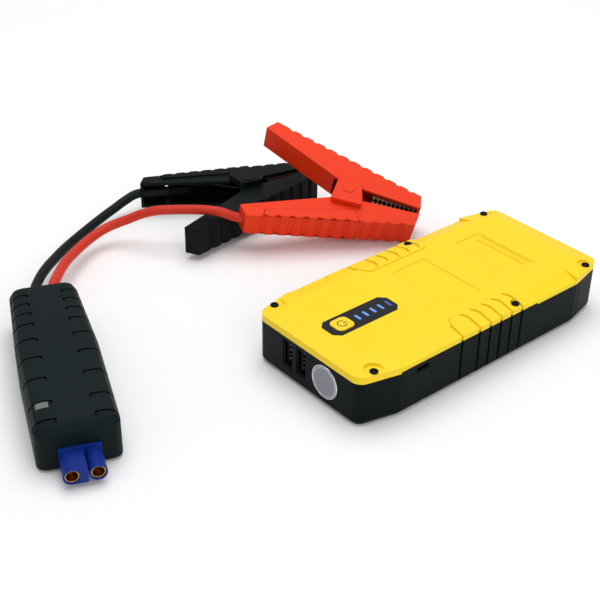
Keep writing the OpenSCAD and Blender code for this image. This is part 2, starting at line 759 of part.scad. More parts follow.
outlet_pin_r = pole_r - 0.1;
well_r = barrel_r + 0.4;
module outlet_socket() color(plug_blue) {
    difference() {
        translate([-outlet_w / 2, socket_y - outlet_deep, outlet_z - outlet_h / 2])
            cube([outlet_w, outlet_deep, outlet_h]);
        for (sx = [-1, 1]) translate([sx * pole_pitch / 2, socket_y + over, outlet_z])
            rotate([90, 0, 0]) cylinder(r = well_r, h = barrel_l + over + 1, $fn = 48);
        // the flat side of one well keys the plug
        translate([-pole_pitch / 2, socket_y - barrel_l - 1, outlet_z - well_r])
            cube([pole_pitch / 2 + key_flat + fit, barrel_l + 1 + over, 2 * well_r]);
        for (sx = [-1, 1]) translate([sx * pole_pitch / 2, socket_y, outlet_z])
            rotate([90, 0, 0]) cylinder(r = outlet_pin_r + 0.05, h = outlet_deep + over, $fn = 48);
    }
}

module outlet_pins() color(gold) {
    for (sx = [-1, 1]) translate([sx * pole_pitch / 2, socket_y - 3, outlet_z])
        rotate([90, 0, 0]) cylinder(r = outlet_pin_r, h = outlet_deep - 3, $fn = 48);
}

module outlet_cap() color(tub_black) {
    difference() {
        union() {
            translate([-cap_w / 2, hl - cap_t - 0.1, outlet_z - cap_h / 2])
                cube([cap_w, cap_t, cap_h]);
            // knuckle round the hinge pin, and the web that joins it to the cap
            translate([cap_x, cap_y, outlet_z - cap_h / 2 + 2])
                cylinder(r = knuckle_r, h = cap_h - 4, $fn = 32);
            translate([cap_x, cap_y + knuckle_r - 1.2, outlet_z - cap_h / 2 + 2])
                cube([-cap_x - cap_w / 2 + 1, 1.2, cap_h - 4]);
            // lip to lift the cap by
            translate([cap_w / 2 - 2, hl - 0.2, outlet_z - 4]) cube([1.6, 1, 8]);
        }
        translate([cap_x, cap_y, outlet_z - cap_h / 2])
            cylinder(r = cap_pin_r + 0.05, h = cap_h, $fn = 24);
    }
}

module cap_hinge_pin() color(steel) {
    translate([cap_x, cap_y, outlet_z - cap_h / 2 - pin_hold])
        cylinder(r = cap_pin_r, h = cap_h + 2 * pin_hold, $fn = 24);
}

// ---- Smart module, drawn along X with its plug at -X, then laid beside the pack ----

module_at = [-70.1, -160, 0];
module_turn = 157.5;
module in_lead() translate(module_at) rotate([0, 0, module_turn]) children();
ml = module_l / 2;
mw = module_w / 2;
plug_w = 17.6;
plug_h = 10.4;
plug_tail = 14;
plug_lip = 1.4;
key_flat = 1.2;             // how far the keyed barrel reaches past the plug's middle
sleeve_r = pole_r + sleeve_t;
plug_face = -ml - plug_lip; // front of the plug's flange
plug_tip = plug_face - barrel_l;
block_h = pole_z + sleeve_r + 1.2 - module_wall;  // block that holds the sleeves in the module
gland_r = cable_d / 2 + 1.2;
gland_in = 6;               // length of a gland inside the module
gland_mid = -1.25;
function gland_y(side) = gland_mid + side * gland_pitch / 2;
function module_pts(i = 0) = rounded([[ml - i, -mw + i + 2.6], [ml - i, mw - i - 2.6],
    [4, mw - i], [-ml + i, mw - i - 0.3], [-ml + i, -mw + i + 0.3], [4, -mw + i]],
    [tail_r - i * 0.5, tail_r - i * 0.5, 20, nose_r - i * 0.3, nose_r - i * 0.3, 20], 4);
module module_form(inset, foot, top) {
    hull() {
        layer(foot, module_pts(inset));
        layer(top - crown_w * 0.8, module_pts(inset));
        layer(top - crown_w * 0.28, module_pts(inset + crown_w * 0.28));
        layer(top - crown_w * 0.06, module_pts(inset + crown_w * 0.62));
        layer(top - eps, module_pts(inset + crown_w));
    }
}
hook_share = [0.81, 0.675, 0.53, 0.367, 0.147, -0.11, -0.394, -0.694, -0.912];
hook_x = ml * hook_share;
hook_tail = 2.2;
status_l = 4;
status_x = hook_x[7] - status_l / 2 - 0.2;
status_w = 5.5;
status_y = mw - hook_reach + 1.3;
status_foot = module_h - module_wall - 1.6;

// Grooves over both edges of the crown, each with a short tail towards the plug
module hooks() {
    for (x = hook_x, sy = [-1, 1]) {
        translate([x - hook_w / 2, sy > 0 ? mw - hook_reach : -mw - over, tray_h + 1.5])
            cube([hook_w, hook_reach + over, module_h]);
        translate([x - hook_tail, sy * (mw - hook_reach) - hook_w / 2, module_h - crown_w])
            cube([hook_tail, hook_w, module_h]);
    }
}

module module_upper_shell() color(charcoal) in_lead() {
    difference() {
        module_form(0, tray_h, module_h);
        intersection() {
            difference() {
                translate([0, 0, module_h / 2]) cube([3 * module_l, 3 * module_w, 3 * module_h],
                    center = true);
                module_form(hook_d, 0, module_h - hook_d);
            }
            hooks();
        }
        module_form(module_wall + 0.4, tray_h - over, module_h - module_wall - 0.4);
        for (sy = [-1, 1]) translate([ml - gland_in, gland_y(sy), gland_z])
            rotate([0, 90, 0]) cylinder(r = gland_r + 0.05, h = 2 * gland_in, $fn = 32);
        translate([status_x - status_l / 2, status_y, 0])
            cube([status_l, status_w, module_h + over]);
        translate([-ml - over, -plug_w / 2, 0])
            cube([over + module_wall + 1, plug_w, pole_z + plug_h / 2]);
    }
    // posts for the screws
    for (p = module_screw_spots) translate([p[0], p[1], tray_h]) difference() {
        cylinder(r = 2.6, h = module_h - tray_h - module_wall - 0.2, $fn = 24);
        translate([0, 0, -over]) cylinder(r = 0.9, h = 8 + over, $fn = 24);
        translate([status_x - status_l / 2 - fit - p[0], status_y - fit - p[1],
                status_foot - fit - tray_h])
            cube([status_l + 2 * fit, status_w, module_h]);
    }
}

module_screw_spots = [for (x = [-ml + plug_tail + 4.5, ml - 9], y = [-1, 1]) [x, y * (mw - 8)]];
module module_lower_shell() color(charcoal) in_lead() {
    difference() {
        hull() {
            layer(0, module_pts(1.4));
            layer(1.4, module_pts());
            layer(tray_h - eps, module_pts());
        }
        translate([0, 0, module_wall]) linear_extrude(module_h)
            polygon(module_pts(module_wall + 0.4));
        for (p = module_screw_spots) translate([p[0], p[1], -over]) {
            cylinder(r = 2.2, h = over + 0.8, $fn = 24);
            cylinder(r = 1.1, h = over + module_wall + 1, $fn = 24);
        }
        translate([-ml - over, -plug_w / 2, pole_z - plug_h / 2])
            cube([over + module_wall + 1, plug_w, module_h]);
    }
    for (p = module_screw_spots) translate([p[0], p[1], 0.8]) difference() {
        cylinder(r = 2.8, h = tray_h - 0.8, $fn = 24);
        translate([0, 0, -over]) cylinder(r = 1.1, h = tray_h + over, $fn = 24);
    }
}

screw_bite = 5;             // reach of a screw into the upper shell's post
module module_screws() color([0.08, 0.08, 0.09]) in_lead() {
    for (p = module_screw_spots) translate([p[0], p[1], 0]) {
        translate([0, 0, 0.1]) cylinder(r = 1.9, h = 0.7, $fn = 24);
        translate([0, 0, 0.8]) cylinder(r = 0.85, h = tray_h + screw_bite, $fn = 24);
    }
}

module_board_z = tray_h + 0.5;
board_x0 = -ml + plug_tail + 0.5;
board_x1 = ml - gland_in - 6.5;
module_board_w = module_w - 4 * module_wall - 2;
module module_board() color(board_green) in_lead() {
    translate([0, 0, module_board_z]) linear_extrude(board_t) difference() {
        translate([board_x0, -module_board_w / 2])
            square([board_x1 - board_x0, module_board_w]);
        for (p = module_screw_spots) translate([p[0], p[1]]) circle(r = 3.2, $fn = 24);
    }
    for (sy = [-1, 1]) translate([0, sy * 8, module_wall])
        cylinder(r = 1.6, h = module_board_z - module_wall, $fn = 24);
}

relay_l = 20;
relay_w = 16;
relay_h = 12;
relay_x = 14;               // reach of the relay from the module's middle towards the plug
module module_relay() color([0.2, 0.22, 0.25]) in_lead() {
    translate([-relay_x, -relay_w / 2, module_board_z + board_t]) cube([relay_l, relay_w, relay_h]);
}

module status_window() color([0.72, 0.75, 0.74]) in_lead() {
    intersection() {
        translate([status_x - status_l / 2, status_y, status_foot])
            cube([status_l, status_w, 2 * module_wall]);
        module_form(0.15, tray_h, module_h - 0.15);
    }
}

// ---- Plug: one round barrel and one with a flat side, each with a sleeve ----

module plug_housing() color(plug_blue) in_lead() {
    difference() {
        union() {
            translate([plug_face, -plug_w / 2, pole_z - plug_h / 2])
                cube([plug_lip + module_wall + 1, plug_w, plug_h]);
            translate([-ml + module_wall + 1 - over, -plug_w / 2, module_wall])
                cube([over, plug_w, block_h]);
            translate([-ml + module_wall + 1, -pole_pitch, module_wall])
                cube([plug_tail - module_wall - 1, 2 * pole_pitch, block_h]);
            for (sy = [-1, 1]) translate([plug_tip, sy * pole_pitch / 2, pole_z])
                rotate([0, 90, 0]) cylinder(r = barrel_r, h = barrel_l + over, $fn = 48);
            translate([plug_tip, -key_flat, pole_z - barrel_r])
                cube([barrel_l + over, pole_pitch / 2 + key_flat, 2 * barrel_r]);
        }
        for (sy = [-1, 1]) translate([plug_tip - over, sy * pole_pitch / 2, pole_z])
            rotate([0, 90, 0])
                cylinder(r = sleeve_r + 0.05, h = barrel_l + plug_tail + 10, $fn = 48);
    }
}

sleeve_back = 0.5;          // how far the sleeves sit back from the barrels' tips
module plug_contacts() color(gold) in_lead() {
    for (sy = [-1, 1]) translate([plug_tip + sleeve_back, sy * pole_pitch / 2, pole_z])
        rotate([0, 90, 0]) difference() {
            cylinder(r = sleeve_r, h = barrel_l + plug_tail, $fn = 48);
            translate([0, 0, -over]) cylinder(r = pole_r, h = barrel_l + over, $fn = 48);
        }
}

// ---- Cables ----

module cable_glands() color([0.07, 0.08, 0.09]) in_lead() {
    for (sy = [-1, 1]) translate([ml, gland_y(sy), gland_z]) rotate([0, 90, 0]) {
        translate([0, 0, -gland_in])
            cylinder(r = gland_r, h = gland_in + gland_l * 0.4, $fn = 32);
        translate([0, 0, gland_l * 0.4 - eps])
            cylinder(r = cable_d / 2 + 0.6, h = gland_l * 0.6 + eps, $fn = 32);
    }
}

// ---- Clamps, drawn with the pivot at the origin, the jaws towards +X and the cable's arm at +Y ----

tan_back = tan(back_slope);
function back(x) = back_y - x * tan_back;
half_w = clamp_w / 2;
in_w = half_w - arm_wall;
tip_out = [jaw_l - 1.1, back(jaw_l - 1.1)];
tip_in = [jaw_l, tip_gap / 2];
end_out = [-handle_l + 4.7, back(-handle_l + 4.7)];
end_in = [-handle_l, back(-handle_l) - handle_depth];
throat_rear = [-8, 7];
throat_front = [8, 4];
function arm_profile() = [tip_in, tip_out, end_out, end_in, throat_rear, throat_front];
ear_z0 = half_w + gap;
ear_z1 = ear_z0 + ear_t;
boss_h = 0.3;
cable_in = arm_wall + cable_d / 2 + 0.4;      // from the back's surface to the cable's axis
function cable_axis(x) = [x, back(x) - cable_in / cos(back_slope), 0];
first_rib = -38;
lug_x = -36;
rib_count = floor((jaw_l - 5 - first_rib) / rib_pitch);

// The arm's channel; with "side" 1 its outer ear is at +Z
module arm(side, ear_shape, has_cable, has_slot) {
    lid = has_cable ? 0 : 1.1;      // sheet that closes the handle of the moving arm
    lid_end = throat_rear - [1, 0];
    difference() {
        union() {
            linear_extrude(clamp_w, center = true) polygon(arm_profile());
            // outer ear, over the other arm's wall
            translate([0, 0, side > 0 ? ear_z0 : -ear_z1]) linear_extrude(ear_t) polygon(ear_shape);
            translate([0, 0, side > 0 ? half_w : -ear_z0]) linear_extrude(gap)
                intersection() {
                    polygon(ear_shape);
                    translate([-20, ear_r + gap]) square(40);
                }
            translate([0, 0, side > 0 ? ear_z1 : -ear_z1 - boss_h])
                cylinder(r = boss_r, h = boss_h, $fn = 48);
            // inner ear, under the other arm's outer ear
            translate([0, 0, side > 0 ? -half_w : in_w]) {
                cylinder(r = ear_r, h = arm_wall, $fn = 48);
                linear_extrude(arm_wall)
                    polygon([throat_front, throat_rear, [-ear_r, 0.5], [ear_r, 0.5]]);
            }
        }
        // channel, open towards the other arm
        linear_extrude(2 * in_w, center = true) polygon(concat([
            [jaw_l - 1.1 - arm_wall, back(jaw_l - 1.1 - arm_wall) - arm_wall],
            [-handle_l + 4.7 + arm_wall, back(-handle_l + 4.7 + arm_wall) - arm_wall / cos(back_slope)],
            [-handle_l + arm_wall, end_in[1] + lid]],
            has_cable ? [[-handle_l + arm_wall, -20]] : [lid_end + [0, lid], lid_end - [0, 20]],
            [[jaw_l - arm_wall, -20], [jaw_l - arm_wall, tip_in[1]]]));
        // room for the other arm's inner ear
        translate([0, 0, side > 0 ? in_w - over : -half_w - gap])
            cylinder(r = ear_r + gap, h = arm_wall + gap + over, $fn = 48);
        // bore for the pivot pin, blind at the boss
        translate([0, 0, side > 0 ? -half_w - over : -pin_half])
            cylinder(r = has_cable ? pivot_r : pivot_r + pivot_fit, h = half_w + over + pin_half, $fn = 48);
        // hollows between the ribs of the back
        for (i = [0:rib_count]) translate([first_rib + i * rib_pitch, back(first_rib + i * rib_pitch), 0])
            rotate([0, 0, -back_slope]) translate([0, 2 - rib_d, 0])
                cylinder(r = 2, h = clamp_w + 2 * over, center = true, $fn = 32);
        if (has_cable) {
            // notch for the cable
            translate(cable_axis(-handle_l - 4)) rotate([0, 90, -back_slope])
                cylinder(r = cable_d / 2 + 0.3, h = 14, $fn = 32);
        }
        if (has_slot) translate([lug_x - 0.5, 20, -4.5]) cube([2.6, 14, 9]);
    }
}
pin_half = ear_z1 - 1;
cable_ear = rounded([[10.4, 6.6], [0.3, 12.6], [-7.6, 8.4], [-5.4, -4.7], [7, -4.9]], [1, 1, 1, 2.5, 2]);
moving_ear = rounded([[4.9, 9.4], [-6.6, 5.8], [-7.9, -9.9], [9.1, -9.3]], [0.8, 0.8, 1.2, 1.2]);

module cable_arm(side, has_slot) arm(side, cable_ear, true, has_slot);
module moving_arm(side) mirror([0, 1, 0]) arm(side, moving_ear, false, false);
module pivot_pin() cylinder(r = pivot_r, h = 2 * pin_half - 0.2, center = true, $fn = 48);

// Spring: a coil round the pin with a leg inside each handle
leg_reach = -24;
wire_r = wire_d / 2;
coil_pitch = wire_d + 0.5;
leg_y = back(leg_reach) - arm_wall / cos(back_slope) - wire_r - 0.1;
spring_start = 60;
coil_half = coil_pitch * (coil_turns + spring_start / 180) / 2;
spring_sweep = 360 * coil_turns + 2 * spring_start;
spring_steps = ceil(spring_sweep / 45);
function coil_point(k) = let (f = k / spring_steps, a = spring_start - spring_sweep * f)
    [coil_r * cos(a), coil_r * sin(a), coil_half - 2 * coil_half * f];
spring_route = concat(
    [[leg_reach, leg_y, coil_half], [leg_reach * 0.6, leg_y * 0.68 + 1, coil_half],
        [-4, 6.4, coil_half]],
    [for (k = [0:spring_steps]) coil_point(k)],
    [[-4, -6.4, -coil_half], [leg_reach * 0.6, -leg_y * 0.68 - 1, -coil_half],
        [leg_reach, -leg_y, -coil_half]]);
module spring() tube(spring_route, wire_d, 6);
coil_gap = min([for (i = [0:spring_steps - 7], k = [i + 7:min(i + 9, spring_steps)])
    norm(coil_point(i) - coil_point(k)) - wire_d]);
echo(least_gap_in_spring = coil_gap);

// Jaw: a toothed copper channel that lines the plastic jaw
jaw_back = 13;
tooth_h = 1.6;
jaw_sheet = 0.9;
jaw_web_y = 7;
jaw_end = jaw_l - arm_wall - 0.9;
tooth_count = floor((jaw_end - jaw_back) / tooth_pitch);
jaw_start = jaw_end - tooth_count * tooth_pitch;
module jaw() {
    difference() {
        linear_extrude(2 * in_w, center = true) polygon(concat(
            [[jaw_end, jaw_web_y], [jaw_start, jaw_web_y]],
            [for (i = [0:tooth_count - 1]) each [[jaw_start + i * tooth_pitch, gap / 2 + tooth_h],
                [jaw_start + (i + 0.5) * tooth_pitch, gap / 2]]],
            [[jaw_end, gap / 2 + tooth_h]]));
        translate([jaw_start - over, -over, -in_w + jaw_sheet])
            cube([jaw_l, jaw_web_y + over - jaw_sheet, 2 * (in_w - jaw_sheet)]);
    }
}

lug_l = 12;
strap_t = 0.8;
strap_w = 1.9;
module cable_lug() {
    translate(cable_axis(lug_x)) rotate([0, 90, -back_slope])
        cylinder(r = cable_d / 2 + 0.3, h = lug_l, $fn = 32);
    // flat strap from the crimped barrel, past the spring and onto the fixed jaw
    a = cable_axis(lug_x + (lug_l - 1) * cos(back_slope));
    translate([0, 0, -in_w + 0.5]) {
        linear_extrude(strap_w) polygon([[a[0], a[1] - strap_t], [jaw_start - 0.5, jaw_web_y],
            [jaw_start + 5, jaw_web_y], [jaw_start + 5, jaw_web_y + strap_t],
            [jaw_start, jaw_web_y + strap_t], [a[0], a[1] + strap_t]]);
        linear_extrude(in_w - 0.5) translate([a[0] - 1, a[1] - 1]) square([1.4, 2]);
    }
}

red_at = [-97.8, 32.2, 19.3];
red_turn = [201.7, 12.1, 40.9];
black_at = [-146.9, 4.2, ear_z1 + boss_h];
black_turn = [0, 0, 80.2];
// Positions of the ends of the cables, and their routes between them
function turned(v, r) = let (
        a = [v[0], v[1] * cos(r[0]) - v[2] * sin(r[0]), v[1] * sin(r[0]) + v[2] * cos(r[0])],
        b = [a[0] * cos(r[1]) + a[2] * sin(r[1]), a[1], a[2] * cos(r[1]) - a[0] * sin(r[1])])
    [b[0] * cos(r[2]) - b[1] * sin(r[2]), b[0] * sin(r[2]) + b[1] * cos(r[2]), b[2]];
function lead_point(out, side) =
    module_at + turned([ml + gland_l + out, gland_y(side), gland_z], [0, 0, module_turn]);
function lug_point(at, turn, x) = at + turned(cable_axis(x), turn);
red_route = concat([lead_point(0, -1), lead_point(4, -1)],
    [[-138, -121, 11.6], [-149, -109.5, 10.6], [-154.8, -101.6, 9.8], [-160.3, -92.8, 9.2],
    [-164, -84.6, 9.3], [-165.2, -77, 10.4], [-163.4, -70.8, 12.2], [-159.6, -65, 14.7],
    [-153.4, -60.4, 18.8], [-147, -55.6, 21.7], [-142, -49.8, 22.3], [-137.4, -44.2, 22.5],
    [-132.4, -39.2, 22.8], [-128, -34.8, 22.7], [-123.8, -31, 22.1]],
    [for (x = [-handle_l - 1, -handle_l + 8, lug_x]) lug_point(red_at, red_turn, x)]);
black_route = concat([lead_point(0, 1), lead_point(4, 1)],
    [[-139, -131.5, 11.5], [-150.6, -119.8, 10], [-156.8, -112.4, 8.8], [-163.2, -104.4, 7.6],
    [-169, -96, 6.6], [-174, -87.6, 6], [-178.4, -79.2, 5.8], [-182, -71.2, 6],
    [-184.6, -63.6, 6.7], [-186.1, -57, 7.8], [-187, -50, 9.5]],
    [for (x = [-handle_l - 1, -handle_l + 8, lug_x]) lug_point(black_at, black_turn, x)]);

module red_cable() color(clamp_red) tube(red_route, cable_d, 10);
module black_cable() color([0.1, 0.11, 0.12]) tube(black_route, cable_d, 10);

module in_red() translate(red_at) rotate(red_turn) children();
module in_black() translate(black_at) rotate(black_turn) children();

module red_cable_arm() color(clamp_red) in_red() cable_arm(1, false);
module red_moving_arm() color(clamp_red) in_red() moving_arm(-1);
module red_pivot_pin() color(steel) in_red() pivot_pin();
module red_spring() color(steel) in_red() spring();
module red_fixed_jaw() color(copper) in_red() jaw();
module red_moving_jaw() color(copper) in_red() mirror([0, 1, 0]) jaw();
module red_cable_lug() color(copper) in_red() cable_lug();
module black_cable_arm() color(clamp_black) in_black() cable_arm(1, true);
module black_moving_arm() color(clamp_black) in_black() moving_arm(-1);
module black_pivot_pin() color(steel) in_black() pivot_pin();
module black_spring() color(steel) in_black() spring();
module black_fixed_jaw() color(copper) in_black() jaw();
module black_moving_jaw() color(copper) in_black() mirror([0, 1, 0]) jaw();
module black_cable_lug() color(copper) in_black() cable_lug();

base_housing();
top_cover();
cover_screws();
display_window();
charge_lights();
power_button();
switch_plunger();
tact_switch();
display_board();
main_board();
charge_board();
battery_cells();
usb_shells();
usb_tongues();
micro_port();
torch_lens();
torch_reflector();
torch_led();
outlet_socket();
outlet_pins();
outlet_cap();
cap_hinge_pin();
module_upper_shell();
module_lower_shell();
module_screws();
module_board();
module_relay();
status_window();
plug_housing();
plug_contacts();
cable_glands();
red_cable();
black_cable();
red_cable_arm();
red_moving_arm();
red_pivot_pin();
red_spring();
red_fixed_jaw();
red_moving_jaw();
red_cable_lug();
black_cable_arm();
black_moving_arm();
black_pivot_pin();
black_spring();
black_fixed_jaw();
black_moving_jaw();
black_cable_lug();
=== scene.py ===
# Jump starter pack with a smart lead: plastics, lamps, leads and clamps over the frame.
import json
import math
import bpy
import bmesh
from mathutils import Matrix, Vector

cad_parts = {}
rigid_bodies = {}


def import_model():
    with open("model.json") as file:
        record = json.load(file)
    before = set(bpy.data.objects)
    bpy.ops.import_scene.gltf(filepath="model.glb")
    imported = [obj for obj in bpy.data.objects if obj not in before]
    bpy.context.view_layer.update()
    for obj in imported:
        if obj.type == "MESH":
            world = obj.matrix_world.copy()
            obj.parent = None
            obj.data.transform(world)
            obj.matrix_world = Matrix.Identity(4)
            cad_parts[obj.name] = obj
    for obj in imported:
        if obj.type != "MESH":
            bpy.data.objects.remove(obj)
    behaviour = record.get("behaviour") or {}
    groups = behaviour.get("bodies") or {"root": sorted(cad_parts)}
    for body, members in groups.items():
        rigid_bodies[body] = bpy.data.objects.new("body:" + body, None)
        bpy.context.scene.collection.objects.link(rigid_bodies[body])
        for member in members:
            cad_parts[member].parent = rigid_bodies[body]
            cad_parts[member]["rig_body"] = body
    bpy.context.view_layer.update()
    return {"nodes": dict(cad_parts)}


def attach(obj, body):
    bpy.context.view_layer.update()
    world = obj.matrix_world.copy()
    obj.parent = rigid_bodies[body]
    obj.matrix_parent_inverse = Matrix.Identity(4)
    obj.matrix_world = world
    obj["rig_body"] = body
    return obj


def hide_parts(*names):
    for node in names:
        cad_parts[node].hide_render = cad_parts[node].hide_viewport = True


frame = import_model()
nodes = frame["nodes"]
scene = bpy.context.scene
scene.view_settings.view_transform = "Standard"
mm = 0.001
print("frame loaded:", len(nodes), "nodes")

# ---- Camera ----

view = {
    "azimuth": 49.554,
    "elevation": 32.44,
    "roll": 0.84,
    "distance": 0.59884,
    "target": (-0.059736, -0.031369, 0),
    "lens": 72.55,
}


def placeCamera(view):
    turn, rise, roll = (math.radians(view[k]) for k in ("azimuth", "elevation", "roll"))
    back = Vector((math.sin(turn) * math.cos(rise), -math.cos(turn) * math.cos(rise), math.sin(rise)))
    right = (-back).cross(Vector((0, 0, 1))).normalized()
    above = back.cross(right)
    across = right * math.cos(roll) + above * math.sin(roll)
    upward = above * math.cos(roll) - right * math.sin(roll)
    camera = bpy.data.objects.new("camera", bpy.data.cameras.new("camera"))
    camera.data.lens = view["lens"]
    camera.data.sensor_width = 36
    camera.data.clip_start = 0.01
    scene.collection.objects.link(camera)
    place = Matrix((across, upward, back)).transposed().to_4x4()
    place.translation = Vector(view["target"]) + back * view["distance"]
    camera.matrix_world = place
    scene.camera = camera


placeCamera(view)

# ---- Shader arithmetic ----


def tone(red, green, blue):
    # a screen colour, 0 to 255, as the shader reads it
    shares = [c / 255 for c in (red, green, blue)]
    return [c / 12.92 if c < 0.04045 else ((c + 0.055) / 1.055) ** 2.4 for c in shares] + [1]


class Wire:
    # one socket's value, so that masks and heights read as sums
    def __init__(self, finish, socket):
        self.finish, self.socket = finish, socket

    def sums(self, operation, first, second=None):
        return self.finish.add("ShaderNodeMath", {"operation": operation}, {0: first, 1: second})

    def __add__(self, other):
        return self.sums("ADD", self, other)

    __radd__ = __add__

    def __sub__(self, other):
        return self.sums("SUBTRACT", self, other)

    def __mul__(self, other):
        return self.sums("MULTIPLY", self, other)

    __rmul__ = __mul__

    def __pow__(self, other):
        return self.sums("POWER", self, other)

    def over(self, edge):
        return self.sums("GREATER_THAN", self, edge)

    def under(self, edge):
        return self.sums("LESS_THAN", self, edge)


class Finish:
    # a material and its nodes
    def __init__(self, name, values):
        self.material = bpy.data.materials.new(name)
        self.material.use_nodes = True
        self.tree = self.material.node_tree
        self.shader = self.tree.nodes["Principled BSDF"]
        self.fill(self.shader, values)

    def fill(self, node, values):
        for key, value in values.items():
            if isinstance(value, Wire):
                self.tree.links.new(value.socket, node.inputs[key])
            elif value is not None:
                node.inputs[key].default_value = value

    def add(self, kind, settings, values, output=0):
        node = self.tree.nodes.new(kind)
        for key, value in settings.items():
            if key == "stops":
                ramp = node.color_ramp
                while len(ramp.elements) < len(value):
                    ramp.elements.new(0.5)
                for stop, (place, colour) in zip(ramp.elements, value):
                    stop.position, stop.color = place, colour
            else:
                setattr(node, key, value)
        self.fill(node, values)
        return Wire(self, node.outputs[output])

    def place(self):
        return self.add("ShaderNodeTexCoord", {}, {}, "Object")

    def axes(self, vector):
        return [self.add("ShaderNodeSeparateXYZ", {}, {0: vector}, i) for i in range(3)]

    def noise(self, scale, detail=2, rough=0.5, vector=None):
        values = {"Vector": vector or self.place(), "Scale": scale, "Detail": detail, "Roughness": rough}
        return self.add("ShaderNodeTexNoise", {}, values)

    def cells(self, scale):
        return self.add("ShaderNodeTexVoronoi", {}, {"Vector": self.place(), "Scale": scale})

    def blend(self, share, first, second):
        settings = {"data_type": "RGBA"}
        return self.add("ShaderNodeMix", settings, {0: share, 6: first, 7: second}, 2)

    def bump(self, height, depth, strength=1.0):
        soft = self.add("ShaderNodeBevel", {"samples": 6}, {"Radius": 0.0004})
        values = {"Height": height, "Distance": depth, "Strength": strength, "Normal": soft}
        return self.add("ShaderNodeBump", {}, values)

    def wear(self, **values):
        self.fill(self.shader, {key.replace("_", " "): value for key, value in values.items()})
        return self


def shade(colour, share):
    return [c * share for c in colour[:3]] + [1]


# ---- Finishes ----

plastics = {
    "yellowPlastic": {
        "colour": (255, 219, 30), "rough": 0.42, "grain": 2600, "depth": 0.00003, "mottle": 0.96, "shine": 0.25},
    "keyPlastic": {
        "colour": (255, 219, 36), "rough": 0.36, "grain": 3000, "depth": 0.00002, "mottle": 0.96, "shine": 0.3},
    "tubPlastic": {
        "colour": (8, 19, 20), "rough": 0.44, "grain": 2600, "depth": 0.00003, "mottle": 0.82, "shine": 0.07},
    "modulePlastic": {
        "colour": (15, 27, 29), "rough": 0.5, "grain": 2200, "depth": 0.00003, "mottle": 0.85, "shine": 0.1},
    "redClampPlastic": {
        "colour": (243, 60, 20), "rough": 0.45, "grain": 2400, "depth": 0.00003, "mottle": 0.95, "shine": 0.16},
    # painted shadow: a darker red for the thin strip round each red grip panel's foot, standing in for the shade of
    # the groove at the panel's edge
    "redGripShadowLine": {
        "colour": (168, 34, 14), "rough": 0.5, "grain": 2400, "depth": 0.00002, "mottle": 0.95, "shine": 0.1},
    # painted shadow: the same strip round the black grip panels, in a darker black
    "blackGripShadowLine": {
        "colour": (4, 9, 10), "rough": 0.5, "grain": 2400, "depth": 0.00002, "mottle": 0.9, "shine": 0.05},
    "blackClampPlastic": {
        "colour": (8, 16, 17), "rough": 0.42, "grain": 2400, "depth": 0.00003, "mottle": 0.84, "shine": 0.09},
    "plugPlastic": {
        "colour": (12, 46, 136), "rough": 0.42, "grain": 3000, "depth": 0.00003, "mottle": 0.88, "shine": 0.18},
    "portPlastic": {
        "colour": (10, 11, 13), "rough": 0.5, "grain": 3600, "depth": 0.00002, "mottle": 0.8, "shine": 0.1},
    "windowGrey": {
        "colour": (112, 118, 114), "rough": 0.4, "grain": 3600, "depth": 0.00001, "mottle": 0.93, "shine": 0.3},
    "relayCase": {
        "colour": (46, 50, 56), "rough": 0.5, "grain": 3000, "depth": 0.00002, "mottle": 0.85, "shine": 0.4},
}


def moulded(name, look):
    # spark-eroded plastic: a fine grain, faint flow marks and an uneven sheen
    finish = Finish(name, {"IOR": 1.49, "Specular IOR Level": look["shine"]})
    colour = tone(*look["colour"])
    flow = finish.noise(45, 3, 0.6)
    grain = finish.noise(look["grain"], 3, 0.65)
    pits = finish.cells(look["grain"] * 0.55)
    finish.wear(
        Base_Color=finish.blend(flow, colour, shade(colour, look["mottle"])),
        Roughness=look["rough"] - 0.05 + 0.1 * flow + 0.06 * grain,
        Normal=finish.bump(grain * 0.7 + pits * 0.5, look["depth"]),
    )
    return finish.material


metals = {
    "portSteel": {"colour": (190, 193, 198), "rough": 0.28, "stretch": (40, 900, 40), "depth": 0.00001},
    # painted shade: the port steel darkened, standing in for the shade inside the port openings
    "portSteelShaded": {"colour": (44, 46, 50), "rough": 0.4, "stretch": (40, 900, 40), "depth": 0.00001},
    "contactSilver": {"colour": (226, 228, 232), "rough": 0.3, "stretch": (300, 900, 300), "depth": 0.00001},
    # painted shade: the spring steel darkened for the black clamp's spring, which sits in the black arm's shaded
    # channel
    "springSteelShaded": {"colour": (52, 54, 58), "rough": 0.4, "stretch": (600, 600, 600), "depth": 0.00001},
    "springSteel": {"colour": (176, 178, 182), "rough": 0.3, "stretch": (600, 600, 600), "depth": 0.00001},
    "platedContact": {"colour": (222, 178, 98), "rough": 0.25, "stretch": (300, 900, 300), "depth": 0.00001},
    # painted shade: copper darkened to a dull brown, standing in for the shade in the jaw gap; the red lug takes it
    # too
    "copperShaded": {"colour": (92, 60, 48), "rough": 0.38, "stretch": (400, 400, 1200), "depth": 0.00002},
    "screwSteel": {"colour": (30, 31, 34), "rough": 0.36, "stretch": (900, 900, 900), "depth": 0.00001},
    "cellFoil": {"colour": (168, 172, 178), "rough": 0.38, "stretch": (120, 120, 900), "depth": 0.00004},
}


def metal(name, look):
    # drawn or rolled metal, with streaks along one way and a dull bloom in patches
    finish = Finish(name, {"Metallic": 1.0})
    colour = tone(*look["colour"])
    vector = finish.add("ShaderNodeMapping", {}, {"Vector": finish.place(), "Scale": look["stretch"]})
    streaks = finish.noise(1.0, 4, 0.6, vector)
    bloom = finish.noise(260, 3, 0.6)
    finish.wear(
        Base_Color=finish.blend(bloom, colour, shade(colour, 0.74)),
        Roughness=look["rough"] - 0.08 + 0.16 * bloom + 0.08 * streaks,
        Normal=finish.bump(streaks, look["depth"]),
    )
    return finish.material


